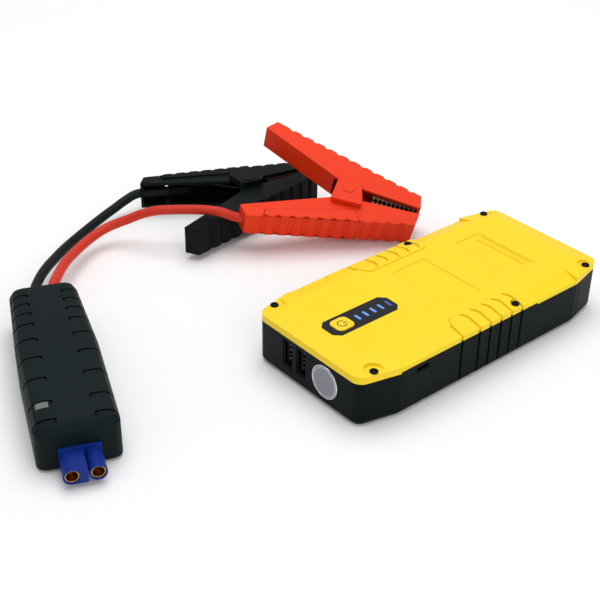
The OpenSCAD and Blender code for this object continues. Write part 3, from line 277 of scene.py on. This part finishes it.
jackets = {
    "redJacket": {
        "colour": (214, 56, 38), "rough": 0.4, "depth": 0.00005, "shine": 0.25},
    "blackJacket": {
        "colour": (14, 24, 26), "rough": 0.38, "depth": 0.00005, "shine": 0.16},
    "glandRubber": {
        "colour": (10, 12, 13), "rough": 0.55, "depth": 0.00004, "shine": 0.1},
}


def jacket(name, look):
    # silicone rubber, faintly uneven over the strands inside
    finish = Finish(name, {"IOR": 1.45, "Specular IOR Level": look["shine"]})
    colour = tone(*look["colour"])
    lumps = finish.noise(420, 2, 0.5)
    dust = finish.noise(2800, 2, 0.6)
    finish.wear(
        Base_Color=finish.blend(lumps, colour, shade(colour, 0.86)),
        Roughness=look["rough"] + 0.12 * lumps + 0.08 * dust,
        Normal=finish.bump(lumps + dust * 0.3, look["depth"]),
    )
    return finish.material


def smokedGlass():
    # dark glossy window with a faint smoky depth
    finish = Finish("smokedWindow", {"Coat Weight": 0.16, "Coat Roughness": 0.1, "Specular IOR Level": 0.2})
    haze = finish.noise(160, 3, 0.6)
    colour = tone(22, 26, 32)
    finish.wear(
        Base_Color=finish.blend(haze, colour, shade(colour, 0.7)),
        Roughness=0.14 + 0.1 * haze,
        Normal=finish.bump(haze, 0.00002),
    )
    return finish.material


barGlow = {
    "colour": (64, 124, 250), "strength": 0.85, "dimAfter": -0.0326, "dim": 0.2, "middle": 0.0002, "half": 0.002,
}


def glowingBars(look):
    # blue bars whose ends are dark; the last one is faint
    finish = Finish("lightBar", {"Roughness": 0.3, "Emission Strength": look["strength"]})
    along = finish.axes(finish.place())
    lit = along[1].under(look["dimAfter"])
    ends = finish.add("ShaderNodeMath", {"operation": "ABSOLUTE"}, {0: along[0] - look["middle"]}).over(look["half"])
    patch = finish.noise(700, 2, 0.5)
    blue = tone(*look["colour"])
    hot = finish.blend(patch, blue, tone(130, 180, 255))
    glow = finish.blend(lit, shade(blue, look["dim"]), hot)
    finish.wear(
        Base_Color=finish.blend(ends, tone(60, 84, 130), tone(24, 28, 34)),
        Emission_Color=finish.blend(ends, glow, tone(0, 0, 0)),
    )
    return finish.material


def circuitBoard():
    # green solder mask with copper lands in a loose pattern
    finish = Finish("circuitBoard", {"Roughness": 0.35})
    tracks = finish.add("ShaderNodeTexBrick", {"offset": 0.37}, {
        "Vector": finish.place(), "Scale": 160.0, "Mortar Size": 0.03,
        "Color1": tone(18, 84, 52), "Color2": tone(14, 70, 44), "Mortar": tone(46, 128, 78)})
    dots = finish.cells(420).under(0.16)
    finish.wear(
        Base_Color=finish.blend(dots, tracks, tone(196, 158, 84)),
        Metallic=dots * 0.9,
        Normal=finish.bump(dots, 0.00005),
    )
    return finish.material


torchFace = {"middle": (0.0122, 0.0124), "rim": 0.0066, "flutes": 26}


def clearLens(look):
    # frosted lens with a paler fluted rim
    finish = Finish("clearLens", {"Transmission Weight": 0.35, "IOR": 1.46, "Specular IOR Level": 0.4})
    x, _, z = finish.axes(finish.place())
    across, above = x - look["middle"][0], z - look["middle"][1]
    reach = (across * across + above * above) ** 0.5
    turn = finish.add("ShaderNodeMath", {"operation": "ARCTAN2"}, {0: above, 1: across})
    flutes = finish.add("ShaderNodeMath", {"operation": "SINE"}, {0: turn * look["flutes"]}) * 0.5 + 0.5
    rim = reach.over(look["rim"])
    haze = finish.noise(420, 3, 0.6)
    face = finish.blend(haze, tone(178, 180, 190), tone(138, 140, 152))
    edge = finish.blend(flutes, tone(226, 228, 232), tone(176, 178, 186))
    finish.wear(
        Base_Color=finish.blend(rim, face, edge),
        Roughness=0.3 + 0.2 * haze,
        Normal=finish.bump(rim * flutes + haze * 0.4, 0.0001),
    )
    return finish.material


def mirrorCup():
    # vacuum-plated reflector with a fine orange peel
    finish = Finish("mirrorCup", {"Metallic": 1.0})
    peel = finish.cells(900)
    finish.wear(
        Base_Color=finish.blend(peel, tone(236, 238, 240), tone(205, 208, 212)),
        Roughness=0.1 + 0.14 * peel,
        Normal=finish.bump(peel, 0.00012),
    )
    return finish.material


def lampPhosphor():
    finish = Finish("torchLamp", {"Roughness": 0.5})
    chip = finish.cells(1400)
    finish.wear(
        Base_Color=finish.blend(chip, tone(250, 226, 120), tone(236, 200, 80)),
        Normal=finish.bump(chip, 0.00003),
    )
    return finish.material


def printedMark():
    finish = Finish("printedMark", {})
    patch = finish.noise(1800, 2, 0.6)
    finish.wear(
        Base_Color=finish.blend(patch, tone(46, 44, 30), tone(62, 58, 38)),
        Roughness=0.45 + 0.1 * patch,
        Normal=finish.bump(patch, 0.00001),
    )
    return finish.material


finishes = {name: moulded(name, look) for name, look in plastics.items()}
finishes.update({name: metal(name, look) for name, look in metals.items()})
finishes.update({name: jacket(name, look) for name, look in jackets.items()})
finishes.update(
    smokedWindow=smokedGlass(), lightBar=glowingBars(barGlow), circuitBoard=circuitBoard(),
    clearLens=clearLens(torchFace), mirrorCup=mirrorCup(), torchLamp=lampPhosphor(), printedMark=printedMark())
print("finishes made:", len(finishes))

# ---- Making pieces ----


def piece(name, form, finish, slot, body, replaced=(), bevel=None, segments=2, angle=30):
    # closes a form into an object that rides on a body; bevel is in millimetres
    mesh = bpy.data.meshes.new(name)
    form.to_mesh(mesh)
    form.free()
    if mesh.has_custom_normals:
        mesh.attributes.remove(mesh.attributes["custom_normal"])
    for face in mesh.polygons:
        face.use_smooth = True
    mesh.materials.clear()
    mesh.materials.append(finishes[finish])
    mesh.set_sharp_from_angle(angle=math.radians(angle))
    made = bpy.data.objects.new(name, mesh)
    scene.collection.objects.link(made)
    if bevel:
        edge = made.modifiers.new("edges", "BEVEL")
        edge.width, edge.segments = bevel * mm, segments
        edge.limit_method, edge.angle_limit = "ANGLE", math.radians(angle)
        edge.use_clamp_overlap, edge.harden_normals = False, True
    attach(made, body)
    if replaced:
        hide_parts(*replaced)
    return made


def merged(node):
    # a frame node's mesh with its triangles joined at their corners
    form = bmesh.new()
    form.from_mesh(nodes[node].data)
    bmesh.ops.remove_doubles(form, verts=form.verts, dist=2e-6)
    return form


def softened(name, node, finish, slot, angle=12):
    return piece(name, merged(node), finish, slot, nodes[node]["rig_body"], [node], angle=angle)


def spot(x, y, z):
    return Vector((x * mm, y * mm, z * mm))


def prism(form, outline, low, high, place=Matrix()):
    # an outline in millimetres, drawn up from low to high
    corners = [form.verts.new(place @ spot(x, y, low)) for x, y in outline]
    face = form.faces.new(corners)
    raised = bmesh.ops.extrude_face_region(form, geom=[face])["geom"]
    lifted = [v for v in raised if isinstance(v, bmesh.types.BMVert)]
    shift = place.to_3x3() @ Vector((0, 0, (high - low) * mm))
    bmesh.ops.translate(form, verts=lifted, vec=shift)


def lathe(form, profile, place=Matrix(), steps=48):
    # a profile of (radius, height) in millimetres, turned about Z
    chain = [form.verts.new(place @ spot(radius, 0, height)) for radius, height in profile]
    edges = [form.edges.new(pair) for pair in zip(chain, chain[1:])]
    bmesh.ops.spin(form, geom=chain + edges, cent=place.translation, axis=place.to_3x3() @ Vector((0, 0, 1)),
                   angle=math.tau, steps=steps, use_merge=True)


def closeForm(form):
    bmesh.ops.remove_doubles(form, verts=form.verts, dist=1e-6)
    bmesh.ops.recalc_face_normals(form, faces=form.faces)
    return form


# ---- Leads ----

moduleAt = {"place": (-70.1, -160, 0), "turn": 157.5, "half": 55.5}
modulePlace = Matrix.Translation(spot(*moduleAt["place"])) @ Matrix.Rotation(
    math.radians(moduleAt["turn"]), 4, "Z")


def clampPlace(at, turn):
    spin = [Matrix.Rotation(math.radians(turn[i]), 4, "XYZ"[i]) for i in (2, 1, 0)]
    return Matrix.Translation(spot(*at)) @ spin[0] @ spin[1] @ spin[2]


clamps = {
    "red": clampPlace((-97.8, 32.2, 19.3), (201.7, 12.1, 40.9)),
    "black": clampPlace((-146.9, 4.2, 11.2), (0, 0, 80.2)),
}

leads = {
    "red": {
        "diameter": 5, "side": -1,
        "route": [(-138, -121, 11.6), (-149, -109.5, 10.6), (-154.8, -101.6, 9.8), (-160.3, -92.8, 9.2),
                  (-164, -84.6, 9.3), (-165.2, -77, 10.4), (-163.4, -70.8, 12.2), (-159.6, -65, 14.7),
                  (-153.4, -60.4, 18.8), (-147, -55.6, 21.7), (-142, -49.8, 22.3), (-137.4, -44.2, 22.5),
                  (-132.4, -39.2, 22.8), (-128, -34.8, 22.7), (-123.8, -31, 22.1)],
    },
    "black": {
        "diameter": 5, "side": 1,
        "route": [(-139, -131.5, 11.5), (-150.6, -119.8, 10), (-156.8, -112.4, 8.8), (-163.2, -104.4, 7.6),
                  (-169, -96, 6.6), (-174, -87.6, 6), (-178.4, -79.2, 5.8), (-182, -71.2, 6),
                  (-184.6, -63.6, 6.7), (-186.1, -57, 7.8), (-187, -50, 9.5)],
    },
}
# where a cable runs inside its handle: along the sloping back, this far under it
handle = {"back": 21, "inset": 4.5, "stations": (-53, -44, -36)}
backLean = math.tan(math.radians(15.6))
collar = {"height": 12, "spacing": 8.5, "middle": -1.25, "wide": 3.7, "narrow": 3.0, "reach": 4}


def layLead(colour, look):
    reach = collar["reach"]
    glandY = collar["middle"] + look["side"] * collar["spacing"] / 2
    start = [modulePlace @ spot(moduleAt["half"] + reach + out, glandY, collar["height"]) for out in (0, reach)]
    under = handle["inset"] / math.cos(math.atan(backLean))
    into = [clamps[colour] @ spot(x, handle["back"] - x * backLean - under, 0) for x in handle["stations"]]
    points = start + [spot(*p) for p in look["route"]] + into
    curve = bpy.data.curves.new(colour + "Lead", "CURVE")
    curve.dimensions, curve.use_fill_caps = "3D", True
    curve.bevel_depth, curve.bevel_resolution = look["diameter"] / 2 * mm, 7
    curve.resolution_u = 6
    line = curve.splines.new("BEZIER")
    line.bezier_points.add(len(points) - 1)
    for knot, point in zip(line.bezier_points, points):
        knot.co = point
        knot.handle_left_type = knot.handle_right_type = "AUTO"
    curve.materials.append(finishes[colour + "Jacket"])
    lead = bpy.data.objects.new(colour + "Lead", curve)
    scene.collection.objects.link(lead)
    bpy.context.view_layer.update()
    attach(lead, "pack")
    colour + "_jacket"
    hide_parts(colour + "_cable")
    length = line.calc_length()
    print(colour, "lead laid,", round(length / mm), "mm")


for colour, look in leads.items():
    layLead(colour, look)

# ---- Pack ----

softened("tub", "base_housing", "tubPlastic", "tub_plastic")
softened("cover", "top_cover", "yellowPlastic", "yellow_plastic", 3)
softened("coverScrews", "cover_screws", "screwSteel", "black_screw")
softened("displayWindow", "display_window", "smokedWindow", "smoked_window")
softened("chargeBars", "charge_lights", "lightBar", "light_bar")
softened("powerKey", "power_button", "keyPlastic", "yellow_plastic")
# the USB shells and the micro port take the darkened steel, which is painted shade in the openings
softened("portShells", "usb_shells", "portSteelShaded", "port_steel")
softened("portTongues", "usb_tongues", "portPlastic", "port_tongue")
softened("chargePort", "micro_port", "portSteelShaded", "port_steel")
softened("outletCap", "outlet_cap", "tubPlastic", "tub_plastic")
softened("outletBlock", "outlet_socket", "plugPlastic", "plug_plastic")

keyMark = {"middle": (0, -57.8), "top": 27.9, "radius": 2.1, "line": 0.5, "gap": 70, "height": 0.04}


def drawKeyMark(look):
    # a broken ring with a stroke through its gap
    form = bmesh.new()
    x, y = look["middle"]
    inner, outer = look["radius"] - look["line"] / 2, look["radius"] + look["line"] / 2
    low, high = look["top"] - 0.03, look["top"] + look["height"]
    section = ((inner, low), (outer, low), (outer, high), (inner, high))
    corners = [form.verts.new(spot(x + r, y, z)) for r, z in section]
    face = form.faces.new(corners)
    centre = spot(x, y, 0)
    start = Matrix.Rotation(math.radians(90 + look["gap"] / 2), 3, "Z")
    bmesh.ops.rotate(form, verts=corners, cent=centre, matrix=start)
    bmesh.ops.spin(form, geom=[face, *corners], cent=centre, axis=(0, 0, 1),
                   angle=math.radians(360 - look["gap"]), steps=40, use_merge=False)
    half = look["line"] / 2
    prism(form, [(x - half, y + 0.6), (x + half, y + 0.6), (x + half, y + 2.8), (x - half, y + 2.8)], low, high)
    piece("keyMark", closeForm(form), "printedMark", "black_screw", "power_button")


drawKeyMark(keyMark)

portPins = {"x": (-12.6, -3.4), "z": 13.7, "front": -76.4, "length": 7, "pitch": 2.4, "width": 1.1, "sheet": 0.15}


def layPortPins(look):
    # four spring contacts on each tongue
    form = bmesh.new()
    for x in look["x"]:
        tongue = x - 3.25 + 0.6 + 0.2 + 1.9
        for i in (-1.5, -0.5, 0.5, 1.5):
            z = look["z"] + i * look["pitch"]
            half = look["width"] / 2
            front, back = look["front"], look["front"] + look["length"]
            prism(form, [(tongue - 0.1, front), (tongue + look["sheet"], front + 0.6),
                         (tongue + look["sheet"], back), (tongue - 0.1, back)], z - half, z + half)
    piece("portPins", closeForm(form), "contactSilver", "plated_contact", "pack", (), 0.04, 1)


layPortPins(portPins)

torch = {"x": 12.2, "z": 12.4, "front": -78.4, "radius": 8.2, "dome": 0.5, "lens": 0.93, "led": 1.8, "depth": 11}


def buildTorch(look):
    at = Matrix.Translation(spot(look["x"], look["front"], look["z"]))
    place = at @ Matrix.Rotation(math.radians(-90), 4, "X")
    r, dome, inner = look["radius"], look["dome"], look["radius"] * look["lens"]
    lens = bmesh.new()
    arc = [(inner * math.sin(a), 0.15 - dome * math.cos(a)) for a in [math.radians(10 * i) for i in range(10)]]
    arc[0] = (0, arc[0][1])
    lathe(lens, arc + [(inner, 1.2), (inner, 1.7), (0, 1.7)], place, 64)
    piece("torchLens", closeForm(lens), "clearLens", "clear_lens", "pack", ["torch_lens"])
    ring = bmesh.new()
    lip = [(r * 0.95, -0.05), (r * 0.98, -0.05), (r, 0.15), (r, 1.7)]
    lathe(ring, [(inner + 0.02, 1.7), (inner + 0.02, 0.25)] + lip, place, 64)
    piece("torchRing", closeForm(ring), "mirrorCup", "bright_reflector", "pack", (), None, 2, 50)
    cup = bmesh.new()
    led, depth = look["led"], look["depth"]
    dish = [(led + (r - 0.5 - led) * math.sqrt(s / 16), 1.8 + depth * (1 - s / 16)) for s in range(16, -1, -1)]
    outer = [(min(radius + 0.8, r), height) for radius, height in reversed(dish)]
    lathe(cup, dish + outer + dish[:1], place, 64)
    piece("torchCup", closeForm(cup), "mirrorCup", "bright_reflector", "pack", ["torch_reflector"], None, 2, 50)


buildTorch(torch)
print("pack dressed")

# ---- Module, plug and collars ----

softened("moduleTop", "module_upper_shell", "modulePlastic", "module_plastic")
softened("moduleBase", "module_lower_shell", "modulePlastic", "module_plastic")
softened("moduleLight", "status_window", "windowGrey", "window_grey")
softened("plugBody", "plug_housing", "plugPlastic", "plug_plastic")
softened("plugSleeves", "plug_contacts", "platedContact", "plated_contact")


def buildCollars(look):
    # tapered rubber collars with two grooves
    form = bmesh.new()
    wide, narrow = look["wide"], look["narrow"]
    profile = [(0, -6), (wide, -6), (wide, 0.9), (wide - 0.15, 1.15), (wide - 0.5, 1.3), (wide - 0.5, 1.7),
               (wide - 0.25, 1.9), (wide - 0.3, 2.4), (wide - 0.6, 2.55), (wide - 0.6, 2.95), (narrow + 0.15, 3.1),
               (narrow + 0.08, 3.8), (narrow - 0.1, 4), (0, 4)]
    for side in (-1, 1):
        y = look["middle"] + side * look["spacing"] / 2
        place = modulePlace @ Matrix.Translation(spot(moduleAt["half"], y, look["height"])) @ Matrix.Rotation(
            math.radians(90), 4, "Y")
        lathe(form, profile, place, 32)
    piece("leadCollars", closeForm(form), "glandRubber", "gland_rubber", "pack", ["cable_glands"], None, 2, 40)


buildCollars(collar)
print("module dressed")

# ---- Clamps ----

gripPanel = {
    "outline": [(-38.5, 27.1), (4.6, 11.9), (7.1, 13.5), (9.7, 18.2), (-38.5, 31.65)],
    # outline and lift of the painted shadow strip round each panel
    "foot": [(-39, 26.8), (4.7, 11.3), (7.5, 13.2), (10.2, 18.1), (-39, 31.6)], "footRise": 0.12,
    "half": 7.5, "thick": 0.7, "firstRib": -38, "ribPitch": 7, "ribCount": 7, "ribRadius": 2, "ribDepth": 0.9,
    "cutLength": 30, "round": 0.2, "angle": 30,
}


def gripPanels(colour, look):
    # raised panels on both sides of a cable's arm, notched by its ribs, each set on a darker strip that is a painted
    # shadow line round its foot
    place = clamps[colour]
    form = bmesh.new()
    for side in (-1, 1):
        low = side * (look["half"] - 0.4)
        prism(form, look["outline"], low, side * (look["half"] + look["thick"]), place)
    # a dark strip just proud of the arm and a little wider than each panel: painted shadow of the groove round the
    # panel's foot
    foot = bmesh.new()
    for side in (-1, 1):
        prism(foot, look["foot"], side * (look["half"] - 0.3), side * (look["half"] + look["footRise"]), place)
    bmesh.ops.recalc_face_normals(foot, faces=foot.faces)
    piece(colour + "GripShadowLine", foot, colour + "GripShadowLine", colour + "_clamp_plastic",
          nodes[colour + "_cable_arm"]["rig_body"])
    bmesh.ops.recalc_face_normals(form, faces=form.faces)
    made = piece(colour + "Grip", form, colour + "ClampPlastic", colour + "_clamp_plastic",
                 nodes[colour + "_cable_arm"]["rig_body"])
    notches = bmesh.new()
    for i in range(look["ribCount"] + 1):
        x = look["firstRib"] + i * look["ribPitch"]
        y = handle["back"] - x * backLean
        lean = Matrix.Rotation(-math.atan(backLean), 4, "Z")
        centre = place @ Matrix.Translation(spot(x, y, 0)) @ lean @ Matrix.Translation(
            spot(0, look["ribRadius"] - look["ribDepth"] - 0.1, 0))
        radius = look["ribRadius"] * mm
        bmesh.ops.create_cone(notches, cap_ends=True, segments=32, radius1=radius, radius2=radius,
                              depth=look["cutLength"] * mm, matrix=centre)
    bmesh.ops.recalc_face_normals(notches, faces=notches.faces)
    mesh = bpy.data.meshes.new("notches")
    notches.to_mesh(mesh)
    notches.free()
    cutter = bpy.data.objects.new("notches", mesh)
    scene.collection.objects.link(cutter)
    cut = made.modifiers.new("notches", "BOOLEAN")
    cut.operation, cut.object, cut.solver = "DIFFERENCE", cutter, "EXACT"
    cutMesh(made, cutter, look["angle"])
    edge = made.modifiers.new("edges", "BEVEL")
    edge.width, edge.segments, edge.limit_method = look["round"] * mm, 2, "ANGLE"
    edge.angle_limit = math.radians(look["angle"])
    edge.use_clamp_overlap, edge.harden_normals = False, True


def cutMesh(made, cutter, angle):
    # keeps what the cut left as the piece's own mesh
    bpy.context.view_layer.update()
    result = bpy.data.meshes.new_from_object(made.evaluated_get(bpy.context.evaluated_depsgraph_get()))
    made.modifiers.clear()
    result.name = made.name
    made.data = result
    bpy.data.objects.remove(cutter)
    for face in result.polygons:
        face.use_smooth = True
    result.set_sharp_from_angle(angle=math.radians(angle))


# the black clamp's spring takes the darkened steel, which is painted shade
springLeg = {"beyond": -4.5, "below": -5, "metals": {"red": "springSteel", "black": "springSteelShaded"}}


def splitSpring(colour, look):
    # the leg on the moving arm swings with it; the coil and the other leg stay
    node, turned = colour + "_spring", clamps[colour].inverted()

    def onLeg(face):
        middle = turned @ face.calc_center_median()
        return middle.x < look["beyond"] * mm and middle.y < look["below"] * mm

    parts = ((colour + "Spring", node, False), (colour + "SpringLeg", colour + "_moving_arm", True))
    for name, body, swings in parts:
        form = merged(node)
        bmesh.ops.delete(form, geom=[face for face in form.faces if onLeg(face) != swings], context="FACES")
        bmesh.ops.holes_fill(form, edges=[edge for edge in form.edges if edge.is_boundary])
        piece(name, form, look["metals"][colour], "spring_steel", nodes[body]["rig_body"], () if swings else [node])


for colour in clamps:
    plastic, slot = colour + "ClampPlastic", colour + "_clamp_plastic"
    softened(colour + "CableArm", colour + "_cable_arm", plastic, slot)
    softened(colour + "MovingArm", colour + "_moving_arm", plastic, slot)
    # the jaw teeth take the copper painted dark for the shade between the arms
    softened(colour + "FixedTeeth", colour + "_fixed_jaw", "copperShaded", "copper_jaw")
    softened(colour + "MovingTeeth", colour + "_moving_jaw", "copperShaded", "copper_jaw")
    gripPanels(colour, gripPanel)
    splitSpring(colour, springLeg)
print("clamps dressed")

# ---- Finishes of the frame's own parts ----

inside = {
    "switch_plunger": "portPlastic", "tact_switch": "portSteel", "display_board": "circuitBoard",
    "main_board": "circuitBoard", "charge_board": "circuitBoard", "battery_cells": "cellFoil",
    "torch_led": "torchLamp", "outlet_pins": "platedContact", "cap_hinge_pin": "springSteel",
    "module_screws": "screwSteel", "module_board": "circuitBoard", "module_relay": "relayCase",
    "red_pivot_pin": "springSteel", "black_pivot_pin": "springSteel",
    "red_cable_lug": "copperShaded", "black_cable_lug": "glandRubber",
}
for node, finish in inside.items():
    nodes[node].data.materials.clear()
    nodes[node].data.materials.append(finishes[finish])

# ---- Floor and lights ----

studio = {
    "floor": (252, 252, 252), "span": 4.0, "sky": 0.52, "aim": (-0.06, -0.03, 0),
    "lamps": {
        "overhead": {"at": (-0.25, 0.15, 1.4), "size": 1.2, "power": 12},
        "side": {"at": (1.1, -0.3, 0.7), "size": 0.8, "power": 3},
    },
}


def buildStudio(look):
    form = bmesh.new()
    bmesh.ops.create_grid(form, x_segments=1, y_segments=1, size=look["span"] / 2)
    mesh = bpy.data.meshes.new("floor")
    form.to_mesh(mesh)
    form.free()
    floor = bpy.data.objects.new("floor", mesh)
    scene.collection.objects.link(floor)
    paper = Finish("paper", {"Roughness": 0.9, "Base Color": tone(*look["floor"]), "IOR": 1.2})
    mesh.materials.append(paper.material)
    sky = bpy.data.worlds.new("sky")
    sky.use_nodes = True
    sky.node_tree.nodes["Background"].inputs["Color"].default_value = (1, 1, 1, 1)
    # white where the camera looks past the floor
    rays = sky.node_tree.nodes.new("ShaderNodeLightPath")
    lift = sky.node_tree.nodes.new("ShaderNodeMath")
    lift.operation = "MAXIMUM"
    lift.inputs[1].default_value = look["sky"]
    sky.node_tree.links.new(rays.outputs["Is Camera Ray"], lift.inputs[0])
    sky.node_tree.links.new(lift.outputs[0], sky.node_tree.nodes["Background"].inputs["Strength"])
    scene.world = sky
    for name, light in look["lamps"].items():
        lamp = bpy.data.objects.new(name, bpy.data.lights.new(name, "AREA"))
        lamp.data.shape, lamp.data.size, lamp.data.energy = "SQUARE", light["size"], light["power"]
        lamp.location = light["at"]
        aim = Vector(look["aim"]) - Vector(light["at"])
        lamp.rotation_euler = aim.to_track_quat("-Z", "Y").to_euler()
        scene.collection.objects.link(lamp)


buildStudio(studio)
print("studio lit")
